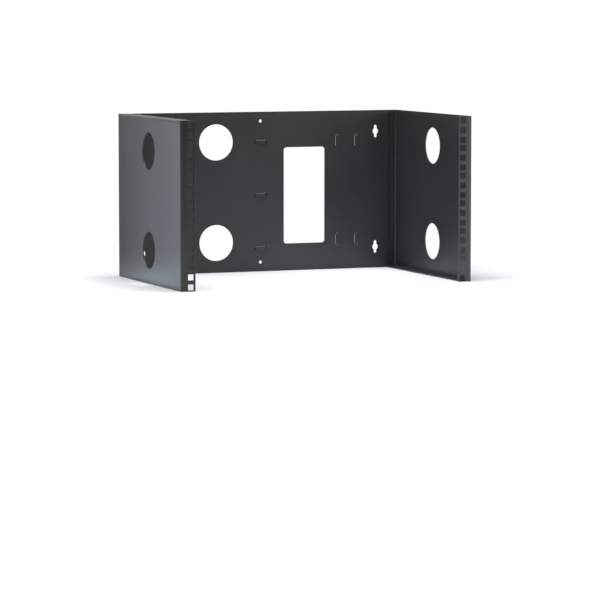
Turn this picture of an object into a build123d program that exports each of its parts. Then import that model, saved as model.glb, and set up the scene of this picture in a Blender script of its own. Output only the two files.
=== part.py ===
from build123d import *
import os

# Wall mount open frame rack, 6 rack units high and 12 inches deep.
# Three folded steel sheets: a flat back plate, and two side panels that each carry
# a mounting rail folded inward at the front, a weld flange folded inward at the rear
# and a stiffening flange folded inward along one end.
# Millimetres. X runs to the right seen from the front, Y towards the wall, Z up.
# The origin is the middle of the footprint, on the surface that the rack stands on.

# Rack standard
unit_height = 44.45
unit_count = 6
rail_hole_levels = (6.35, 22.225, 38.1)
rail_hole_spacing = 465.1
rail_hole_side = 9.5
rail_hole_from_edge = 7.55

# Sheet and overall sizes
sheet = 2.0
bend_inner_radius = 2.5
rail_width = 24.0
depth = 304.8
weld_flange_width = 34.0
end_flange_width = 20.0
corner_relief = 2.0
back_plate_setback = 16.0
rail_corner_radius = 1.5

# Round cable holes
cable_hole_diameter = 60.0
side_cable_hole_from_edge = 54.2
back_cable_hole_from_edge = 49.8
back_feature_offset = 78.7

# Rectangular cable window in the back plate
window_width = 74.0
window_height = 161.3
window_from_bottom = 45.4
window_corner_radius = 5.0

# Screw holes and keyholes for the wall
centre_hole_diameter = 5.5
centre_hole_from_edge = 15.5
keyhole_to_flange = 1.45
keyhole_from_edge = 35.5
keyhole_head_diameter = 10.5
keyhole_slot_width = 5.5
keyhole_length = 21.5

# Bridge lances for cable ties
lance_length = 22.0
lance_width = 6.0
lance_gap = 0.3
lance_ramp = 3.0
lance_fold_radius = 1.6
shear_gap = 0.1
level_lance_heights = (39.3, 127.9, 216.5)
upright_lance_offsets = (138.2, 172.9)
upright_lance_from_edge = 50.5

# Values that follow from the sizes above
height = unit_count * unit_height
half_opening = rail_hole_spacing / 2 - rail_hole_from_edge
half_width = half_opening + rail_width
half_depth = depth / 2
panel_mid_x = half_width - sheet / 2
bend_mid_radius = bend_inner_radius + sheet / 2
bend_outer_radius = bend_inner_radius + sheet
punch_depth = 4 * sheet
panel_flat_depth = depth - 2 * bend_outer_radius
end_flange_length = panel_flat_depth - 2 * corner_relief
end_flange_edge_x = half_width - end_flange_width
plate_mid_y = half_depth - 1.5 * sheet
plate_half_width = half_width - back_plate_setback
flange_edge_x = half_width - weld_flange_width
keyhole_x = flange_edge_x - keyhole_to_flange - keyhole_head_diameter / 2


def folded_section(corners, radius):
    """Section of one sheet whose middle line is bent at every inner corner of the path."""
    with BuildSketch() as section:
        with BuildLine():
            FilletPolyline(*corners, radius=radius)
        trace(line_width=sheet)
    return section.sketch


def side_profile():
    """Plan of the right side panel: rail, side wall and weld flange in one folded strip."""
    front_y = -half_depth + sheet / 2
    rear_y = half_depth - sheet / 2
    corners = [(half_opening, front_y), (panel_mid_x, front_y), (panel_mid_x, rear_y), (flange_edge_x, rear_y)]
    return folded_section(corners, bend_mid_radius)


def end_flange_cutback():
    """Notch that takes the wall back to where the end bend starts, and leaves a relief at both ends."""
    return Pos(panel_mid_x, 0, bend_outer_radius / 2) * Box(2 * sheet, panel_flat_depth, bend_outer_radius)


def end_flange():
    """Inward fold along the bottom of the right side panel, between the rail and the back plate."""
    corners = [(panel_mid_x, 2 * bend_outer_radius), (panel_mid_x, sheet / 2), (end_flange_edge_x, sheet / 2)]
    section = Plane.XZ * folded_section(corners, bend_mid_radius)
    return extrude(section, amount=end_flange_length / 2, both=True)


def rail_hole_heights():
    """Heights of the three square holes in each rack unit, from the bottom edge."""
    return [unit * unit_height + level for unit in range(unit_count) for level in rail_hole_levels]


def rail_holes():
    """Square punches for one rail."""
    punch = Box(rail_hole_side, punch_depth, rail_hole_side)
    spots = [(rail_hole_spacing / 2, -half_depth, level) for level in rail_hole_heights()]
    return [Pos(*spot) * punch for spot in spots]


def side_cable_holes():
    """Round punches at mid depth, the same distance from the top and bottom edges."""
    punch = Cylinder(cable_hole_diameter / 2, punch_depth, rotation=(0, 90, 0))
    levels = (side_cable_hole_from_edge, height - side_cable_hole_from_edge)
    return [Pos(panel_mid_x, 0, level) * punch for level in levels]


def right_side_panel():
    """Folded sheet with the punched rail, two cable holes and the flange along its bottom end."""
    panel = extrude(side_profile(), amount=height)
    panel -= end_flange_cutback()
    panel += end_flange()
    panel -= rail_holes() + side_cable_holes()
    near_rail_edge = (half_opening - sheet / 2, half_opening + sheet / 2)
    free_corners = panel.edges().filter_by(Axis.Y).filter_by_position(Axis.X, *near_rail_edge)
    return fillet(free_corners, rail_corner_radius)


def keyhole_outline():
    """Round head opening in the middle of an upright slot, so the rack hangs either way up."""
    slot = SlotOverall(keyhole_length, keyhole_slot_width, rotation=90)
    return slot + Circle(keyhole_head_diameter / 2)


def plate_outline():
    """Back plate seen from the front, with every opening that is cut straight through it."""
    outline = Pos(0, height / 2) * Rectangle(2 * plate_half_width, height)
    cable_hole = Circle(cable_hole_diameter / 2)
    window = RectangleRounded(window_width, window_height, window_corner_radius)
    outline -= Pos(back_feature_offset, window_from_bottom + window_height / 2) * window
    for level in (back_cable_hole_from_edge, height - back_cable_hole_from_edge):
        outline -= Pos(-back_feature_offset, level) * cable_hole
    for level in (centre_hole_from_edge, height - centre_hole_from_edge):
        outline -= Pos(0, level) * Circle(centre_hole_diameter / 2)
    for level in (keyhole_from_edge, height - keyhole_from_edge):
        for side in (-1, 1):
            outline -= Pos(side * keyhole_x, level) * keyhole_outline()
    return outline


def lance_bridge():
    """Strip pushed forward out of the plate and still joined at both ends, lying along X."""
    rise = sheet + lance_gap
    half_length = lance_length / 2
    half_top = half_length - lance_ramp
    foot = half_length + sheet
    path = [(-foot, 0), (-half_length, 0), (-half_top, -rise), (half_top, -rise), (half_length, 0), (foot, 0)]
    return Pos(0, 0, -lance_width / 2) * extrude(folded_section(path, lance_fold_radius), amount=lance_width)


def lance_window():
    """Cut on both sides of a bridge, between its two feet."""
    return Box(lance_length, 2 * sheet, lance_width + 2 * shear_gap)


def lance_places():
    """Places of the level bridges on the centre line and the upright pairs on the right."""
    places = [Pos(0, plate_mid_y, level) for level in level_lance_heights]
    for level in (upright_lance_from_edge, height - upright_lance_from_edge):
        places += [Pos(x, plate_mid_y, level) * Rot(0, 90, 0) for x in upright_lance_offsets]
    return places


def back_plate():
    """Flat plate in front of the weld flanges, with bridges raised towards the equipment."""
    wall = Plane(origin=(0, half_depth - sheet, 0), x_dir=(1, 0, 0), z_dir=(0, -1, 0))
    plate = extrude(wall * plate_outline(), amount=sheet)
    bridge = lance_bridge()
    window = lance_window()
    places = lance_places()
    plate -= [place * window for place in places]
    plate += [place * bridge for place in places]
    return plate


def save(node, name):
    """Write one piece under the name of its node."""
    export_step(node, os.path.join("parts", name + ".step"))


# The two side panels are one part: the left one is the right one turned end over end,
# so its stiffening flange runs along the top.
os.makedirs("parts", exist_ok=True)
right_panel = right_side_panel()
save(back_plate(), "back_plate")
save(right_panel, "right_side_panel")
save(Pos(0, 0, height) * Rot(0, 180, 0) * right_panel, "left_side_panel")
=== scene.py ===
# %% [markdown]
# A wall rack made of three steel sheets
#
# The real rack is cut and folded from 2 mm steel: a flat back plate full of punched openings, and two sides
# that each end in a rail with square holes. The sides are one and the same part, and the left one is turned end
# over end, so its stiffening flange runs along the top. The solids already have those shapes, with their bends,
# bridges and holes, so this lesson doesn't model them again. It sets up the photographer's camera, a pale table
# and soft lights, and then gives the steel its satin black powder coat, which is where nearly all of the look
# comes from. The first cell loads the solids, keeps their box and prints it.

# %% Load the rack
import math

import bmesh
import bpy
from mathutils import Matrix, Vector


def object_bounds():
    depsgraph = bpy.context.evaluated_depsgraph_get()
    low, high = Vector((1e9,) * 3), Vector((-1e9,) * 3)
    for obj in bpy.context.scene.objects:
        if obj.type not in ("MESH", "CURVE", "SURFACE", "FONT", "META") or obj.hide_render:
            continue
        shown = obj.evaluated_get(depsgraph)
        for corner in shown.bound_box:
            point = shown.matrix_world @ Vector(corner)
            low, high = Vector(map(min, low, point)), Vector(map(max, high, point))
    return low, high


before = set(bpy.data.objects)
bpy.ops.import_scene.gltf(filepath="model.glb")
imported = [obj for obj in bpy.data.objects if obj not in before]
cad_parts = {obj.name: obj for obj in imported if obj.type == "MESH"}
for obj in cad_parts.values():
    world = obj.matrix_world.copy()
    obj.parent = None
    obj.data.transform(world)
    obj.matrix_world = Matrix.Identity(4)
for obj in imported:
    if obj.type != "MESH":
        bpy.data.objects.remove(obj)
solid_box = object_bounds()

print("solids", sorted(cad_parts))
print("box in metres", [tuple(round(c, 4) for c in corner) for corner in solid_box])

# %% [markdown]
# The camera
#
# The rack is seen from its left and a little above. The photographer stood about five metres away with a long
# lens, because the far side of the rack is hardly smaller than the near side. A long lens could be guessed by
# eye, but the square holes of a rack rail have standard places, so the eye point below was worked out from them,
# from the corners and from the round holes. The lens is written as a focal length in picture pixels, which is
# what such a fit gives, and turned into millimetres for the sensor. The rack sits left of and above the middle
# of the picture, and the camera simply looks past it: no lens shift is needed.

# %% Camera
picture_side = 600
sensor_width = 36.0
focal_length_in_pixels = 3218.5
eye_point = Vector((-1.9321, -4.8558, 0.4666))
turn_to_the_right = math.radians(21.815)
look_down = math.radians(5.482)

camera_data = bpy.data.cameras.new("camera")
camera_data.sensor_width = sensor_width
camera_data.lens = focal_length_in_pixels / picture_side * sensor_width
camera = bpy.data.objects.new("camera", camera_data)
camera.location = eye_point
camera.rotation_euler = (math.pi / 2 - look_down, 0, -turn_to_the_right)
bpy.context.scene.collection.objects.link(camera)
bpy.context.scene.camera = camera
print("lens in mm", round(camera_data.lens, 1), "distance in m", round(eye_point.length, 2))

# %% [markdown]
# Writing a finish as sums
#
# A material is a net of nodes, and a net is hard to read in code. It could be drawn by hand, one link at a time,
# but here the output of a node is wrapped in a small class instead. Plus, minus and times on it add the Math nodes,
# so the part of a surface that a mask leaves out can be written as 1 - mask.

# %% A wire that does sums
class Wire:
    """The output of one node. Operators on it add Math nodes to the same net."""

    def __init__(self, net, socket):
        self.net = net
        self.socket = socket

    def __add__(self, other):
        return self.net.maths("ADD", self, other)

    def __radd__(self, other):
        return self.net.maths("ADD", other, self)

    def __sub__(self, other):
        return self.net.maths("SUBTRACT", self, other)

    def __rsub__(self, other):
        return self.net.maths("SUBTRACT", other, self)

    def __mul__(self, other):
        return self.net.maths("MULTIPLY", self, other)

    def __rmul__(self, other):
        return self.net.maths("MULTIPLY", other, self)


print("a", Wire.__name__, "can be added, subtracted and multiplied")

# %% [markdown]
# One way to add a node
#
# A second small class holds one net. Its only way to add a node is one method that takes the kind of node, its
# settings, and what goes into its sockets. The short methods after it only give plain names to the nodes that are
# needed most. Several sockets of the Mix nodes share a name, so those are reached by their place in the row. The
# same class serves the table, the surroundings and the coat.

# %% A net of nodes
first_colour, second_colour, mixed_colour = 6, 7, 2
shader_share, first_shader, second_shader = 0, 1, 2


class Net:
    """The nodes of one material or of the surroundings."""

    def __init__(self, owner):
        owner.use_nodes = True
        self.tree = owner.node_tree
        self.tree.nodes.clear()

    def node(self, kind, settings, sockets, output=0):
        """Adds a node, sets it up, fills its sockets with numbers or wires, and gives one of its outputs."""
        made = self.tree.nodes.new(kind)
        for name, value in settings.items():
            setattr(made, name, value)
        for name, value in sockets.items():
            if isinstance(value, Wire):
                self.tree.links.new(value.socket, made.inputs[name])
            else:
                made.inputs[name].default_value = value
        return Wire(self, made.outputs[output]) if made.outputs else None

    def maths(self, operation, first, second):
        """A sum of two numbers."""
        return self.node("ShaderNodeMath", {"operation": operation}, {0: first, 1: second})

    def dot(self, first, second):
        """How much two directions agree: 1 if they are the same."""
        return self.node("ShaderNodeVectorMath", {"operation": "DOT_PRODUCT"}, {0: first, 1: second}, "Value")

    def rise(self, value, start, end, shape="SMOOTHSTEP"):
        """0 up to start, 1 from end on, and a slope between them."""
        return self.node("ShaderNodeMapRange", {"interpolation_type": shape},
                         {"Value": value, "From Min": start, "From Max": end})

    def mix(self, share, first, second):
        """A colour between two colours."""
        return self.node("ShaderNodeMix", {"data_type": "RGBA"},
                         {"Factor": share, first_colour: first, second_colour: second}, mixed_colour)

    def mix_shaders(self, share, first, second):
        """A surface between two surfaces, or a background between two backgrounds."""
        return self.node("ShaderNodeMixShader", {},
                         {shader_share: share, first_shader: first, second_shader: second})


def new_material(name):
    """An empty material and its net."""
    material = bpy.data.materials.new(name)
    return material, Net(material)


print("a", Net.__name__, "adds nodes, for a material or for the surroundings")

# %% [markdown]
# The table
#
# The photograph was cut out onto pure white. In a real studio the rack would stand on a pale table in front of a
# white sweep. Close to the rack the table here is an ordinary matt surface, so it takes the rack's soft shadow,
# sends light up under the steel and shows up mirrored along its lower edges. Further out it turns into a plain
# white of strength 1, so that no edge of the table shows from any side.
#
# The steel mirrors that white too, but only on the table itself, which ends about 0.75 m out and a little way
# behind the rack. Beyond that the steel sees a dim floor, because a black coat looks black only when part of the
# room is dark. The white is there to be looked at and isn't a lamp, so it is left out of the light sampling.

# %% Table
table_side = 12.0
table_height = solid_box[0].z
table_colour = (0.93, 0.93, 0.93, 1)
table_edge = (0.60, 0.90)
table_rear_edge = (0.24, 0.36)
shadow_reach = (0.38, 0.60)
shadow_rear_reach = (0.15, 0.25)
dim_floor_colour = (0.06, 0.06, 0.06, 1)
plain_white = {"Color": (1, 1, 1, 1), "Strength": 1.0}


def seen_directly_or_mirrored(net, reach):
    """1 for the camera's own rays, and reach for rays that come by way of a shine or through a clear material."""
    camera_ray = net.node("ShaderNodeLightPath", {}, {}, "Is Camera Ray")
    glossy_ray = net.node("ShaderNodeLightPath", {}, {}, "Is Glossy Ray")
    transmission_ray = net.node("ShaderNodeLightPath", {}, {}, "Is Transmission Ray")
    return camera_ray + (glossy_ray + transmission_ray) * reach


def table_material():
    """Matt near the rack and plain white further out, where the steel mirrors it only as far as the table goes."""
    material, net = new_material("pale_table")
    place = net.node("ShaderNodeTexCoord", {}, {}, "Object")
    radius = net.node("ShaderNodeVectorMath", {"operation": "LENGTH"}, {0: place}, "Value")
    behind = net.node("ShaderNodeSeparateXYZ", {}, {0: place}, "Y")
    on_table = (1 - net.rise(radius, *table_edge)) * (1 - net.rise(behind, *table_rear_edge))
    shadow_shown = (1 - net.rise(radius, *shadow_reach)) * (1 - net.rise(behind, *shadow_rear_reach))
    whiteness = seen_directly_or_mirrored(net, on_table) * (1 - shadow_shown)
    floor = net.node("ShaderNodeBsdfDiffuse", {}, {"Color": dim_floor_colour})
    matt = net.node("ShaderNodeBsdfDiffuse", {}, {"Color": table_colour})
    glow = net.node("ShaderNodeEmission", {}, plain_white)
    surface = net.mix_shaders(whiteness, net.mix_shaders(on_table, floor, matt), glow)
    net.node("ShaderNodeOutputMaterial", {}, {"Surface": surface})
    material.cycles.emission_sampling = "NONE"
    return material


def table():
    """One large square at the height of the rack's lower edges."""
    sheet = bmesh.new()
    bmesh.ops.create_grid(sheet, x_segments=1, y_segments=1, size=table_side / 2)
    mesh = bpy.data.meshes.new("table")
    sheet.to_mesh(mesh)
    sheet.free()
    mesh.transform(Matrix.Translation((0, 0, table_height)))
    mesh.materials.append(table_material())
    made = bpy.data.objects.new("table", mesh)
    bpy.context.scene.collection.objects.link(made)


table()
print("table at height", round(table_height, 4), "shadow shown out to", shadow_reach[1], "m")

# %% [markdown]
# The white surroundings
#
# The camera sees white all round, because that is what the photograph was cut out onto. A white dome would do that
# too, but it would light the steel from every side and turn it grey. So the room stays dim, and the white is a
# matter of which ray asks: the camera's own rays find it everywhere, and rays that come off the steel find it only
# where the sweep would hang, in a cone of directions behind the rack.

# %% Surroundings
dim_room = {"Color": (1, 1, 1, 1), "Strength": 0.12}
sweep_middle = Vector((0.07, 1.0, 0.1)).normalized()
sweep_full_within = math.radians(20)
sweep_none_beyond = math.radians(32)


def surroundings():
    """A dim room with a white sweep behind the rack, and white all round for the camera."""
    world = bpy.data.worlds.new("surroundings")
    bpy.context.scene.world = world
    net = Net(world)
    direction = net.node("ShaderNodeTexCoord", {}, {}, "Generated")
    sweep = net.rise(net.dot(direction, sweep_middle), math.cos(sweep_none_beyond), math.cos(sweep_full_within))
    dim = net.node("ShaderNodeBackground", {}, dim_room)
    clear = net.node("ShaderNodeBackground", {}, plain_white)
    both = net.mix_shaders(seen_directly_or_mirrored(net, sweep), dim, clear)
    net.node("ShaderNodeOutputWorld", {}, {"Surface": both})


surroundings()
print("room light", dim_room["Strength"], "of the white that the camera sees")

# %% [markdown]
# Soft lights
#
# Black steel is lit by what it reflects, so the lights are panels, as a product photographer would set them. One
# large panel overhead whitens the table and draws the soft shadow, and one high on the left reaches over the left
# side to the inside of the right one. The left side is seen at a flat angle and mirrors what stands behind it on
# the left: two cool panels, of which the nearer one just misses the rear edge, so that the sheen grows from there
# to the front fold. Upright panels at the front right do the same for the back plate and the right rail, low ones
# lying on the table brighten the lower edges. The bend along the top left needs none: it mirrors the sweep.
#
# The strengths could be guessed one by one, but a render is a plain sum of its lights. So each light was rendered
# alone, and the mix that comes nearest to the tones of the photograph was worked out from those. A panel's
# brightness is that of its face, where 1 is the white of the background, because that is what shows as a sheen in
# the coat. Blender wants the power of the whole panel: that brightness times its area times pi.

# %% Lights
just_above_table = 0.0006
light_panels = {
    "overhead": dict(place=(0, -0.1, 1.8), faces=(0, 0.05, -1), width=1.2, height=1.2,
                     brightness=7.9, colour=(0.945, 0.963, 1.0)),
    "high_left": dict(place=(-1.5, 0, 1.3), faces=(1.5, 0, -1.17), width=1.0, height=1.0,
                      brightness=2.6, colour=(0.98, 0.98, 1.0)),
    "left_near": dict(place=(-0.55, 0.4, 0.15), faces=(0, -1, 0), width=0.30, height=0.30,
                      brightness=1.38, colour=(0.80, 0.84, 1.0)),
    "left_far": dict(place=(-0.90, 0.4, 0.20), faces=(0, -1, 0), width=0.40, height=0.40,
                     brightness=4.1, colour=(0.90, 0.93, 1.0)),
    "left_front": dict(place=(-0.6, -0.7, 0.3), faces=(0.6, 0.7, -0.17), width=0.40, height=0.50,
                       brightness=0.9, colour=(1.0, 0.84, 0.50)),
    "left_low": dict(place=(-0.58, 0.025, just_above_table), faces=(0, 0, 1), width=0.64, height=0.25,
                     brightness=1.77, colour=(0.55, 0.77, 1.0)),
    "left_front_low": dict(place=(-0.58, -0.4, just_above_table), faces=(0, 0, 1), width=0.64, height=0.60,
                           brightness=0.53, colour=(0.49, 0.79, 1.0)),
    "inside_low": dict(place=(0.12, 0, just_above_table), faces=(0, 0, 1), width=0.24, height=0.28,
                       brightness=0.63, colour=(0.40, 0.57, 1.0)),
    "front_low": dict(place=(0.08, -0.38, just_above_table), faces=(0, 0, 1), width=0.36, height=0.44,
                      brightness=0.4, colour=(0.75, 0.88, 1.0)),
    "right_front_low": dict(place=(0.63, -0.48, just_above_table), faces=(0, 0, 1), width=0.74, height=0.64,
                            brightness=0.4, colour=(0.43, 0.68, 1.0)),
    "right_near": dict(place=(0.625, -0.6, 0.25), faces=(0, 1, 0), width=0.35, height=0.50,
                       brightness=1.66, colour=(0.98, 1.0, 1.0)),
    "right_middle": dict(place=(0.35, -0.6, 0.25), faces=(0, 1, 0), width=0.20, height=0.50,
                         brightness=0.6, colour=(1.0, 0.88, 0.72)),
    "right_far": dict(place=(1.0, -0.6, 0.25), faces=(0, 1, 0), width=0.40, height=0.50,
                      brightness=6.6, colour=(0.92, 0.95, 1.0)),
}


def light_panel(name, place, faces, width, height, brightness, colour):
    """A flat light that the camera doesn't see, facing one way."""
    lamp = bpy.data.lights.new(name, "AREA")
    lamp.shape = "RECTANGLE"
    lamp.size = width
    lamp.size_y = height
    lamp.energy = brightness * width * height * math.pi
    lamp.color = colour
    made = bpy.data.objects.new(name, lamp)
    made.location = place
    made.rotation_euler = Vector(faces).to_track_quat("-Z", "Y").to_euler()
    made.visible_camera = False
    bpy.context.scene.collection.objects.link(made)


for name, panel in light_panels.items():
    light_panel(name, **panel)
    print("light", name, "brightness", panel["brightness"])

# %% [markdown]
# Satin black powder coat
#
# The steel is sprayed with dry powder that melts into a skin about a tenth of a millimetre thick. That skin is
# nearly black, satin rather than glossy, and never quite flat: it has a fine orange peel, a slower drift in its
# sheen where the powder lies thicker, and it draws back to a thinner, paler round on every cut edge. It could be
# one flat dark colour, but then a large plate looks like paper. Here the peel is two sizes of noise in a Bump
# node, and the drift goes into the roughness and a little into the colour. A Bevel node rounds the cut edges,
# because the solids' own edges are sharp and a real coated edge catches a thin line of light. Where the rounded
# normal turns away from the flat one the coat is thin, so the same node also tells where it is paler and smoother.

# %% Powder coat
coat_colour = (0.026, 0.0262, 0.0268, 1)
coat_paler_colour = (0.034, 0.034, 0.0345, 1)
coat_roughness = 0.42
coat_roughness_drift = 0.07
coat_bending_of_light = 1.5
edge_round = 0.0008
edge_samples = 6
edge_turn = (0.02, 0.25)
edge_colour = (0.048, 0.048, 0.049, 1)
edge_smoother = 0.08
peel_size = 0.0016
peel_depth = 0.000012
ripple_size = 0.007
ripple_depth = 0.00002
drift_size = 0.055


def powder_coat(name, seed):
    """Satin black coat with orange peel, drifting sheen and rounded cut edges."""
    material, net = new_material(name)
    place = net.node("ShaderNodeTexCoord", {}, {}, "Object")
    place = net.node("ShaderNodeMapping", {}, {"Vector": place, "Location": (seed, seed / 2, seed / 3)})

    def noise(size, detail):
        return net.node("ShaderNodeTexNoise", {}, {"Vector": place, "Scale": 1 / size, "Detail": detail})

    drift = noise(drift_size, detail=3.0)
    grain = noise(peel_size, detail=2.0)
    ripple = noise(ripple_size, detail=1.0)
    rounded = net.node("ShaderNodeBevel", {"samples": edge_samples}, {"Radius": edge_round})
    flat = net.node("ShaderNodeNewGeometry", {}, {}, "Normal")
    thin = net.rise(1 - net.dot(rounded, flat), *edge_turn, shape="LINEAR")
    colour = net.mix(thin, net.mix(drift, coat_colour, coat_paler_colour), edge_colour)
    roughness = coat_roughness + (drift - 0.5) * (2 * coat_roughness_drift) - thin * edge_smoother
    height = grain * (peel_depth / ripple_depth) + ripple
    normal = net.node("ShaderNodeBump", {}, {"Distance": ripple_depth, "Height": height, "Normal": rounded})
    coat = net.node("ShaderNodeBsdfPrincipled", {}, {"Base Color": colour, "Roughness": roughness,
                                                     "Normal": normal, "IOR": coat_bending_of_light})
    net.node("ShaderNodeOutputMaterial", {}, {"Surface": coat})
    return material


side_coat = powder_coat("side_panel_powder_coat", seed=1.0)
plate_coat = powder_coat("back_plate_powder_coat", seed=4.0)
print("made", side_coat.name, "and", plate_coat.name)

# %% [markdown]
# Dressing the solids
#
# Each solid came with one plain finish in its only material slot. A second slot would need its faces to be sorted
# between the two, so the coat simply takes the place of the plain finish, and the shape isn't touched. The two
# sides share one coat, and the back plate has its own with another seed, so that the pattern of the powder doesn't
# run on from one sheet to the next.

# %% Dress the solids
for node, coat in (("back_plate", plate_coat), ("left_side_panel", side_coat), ("right_side_panel", side_coat)):
    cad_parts[node].material_slots[0].material = coat
    print(node, "wears", coat.name)

# %% [markdown]
# Standard view
#
# The finish must not change the rack's size. This last cell only sets the Standard view transform.

# %% Standard view
bpy.context.scene.view_settings.view_transform = "Standard"
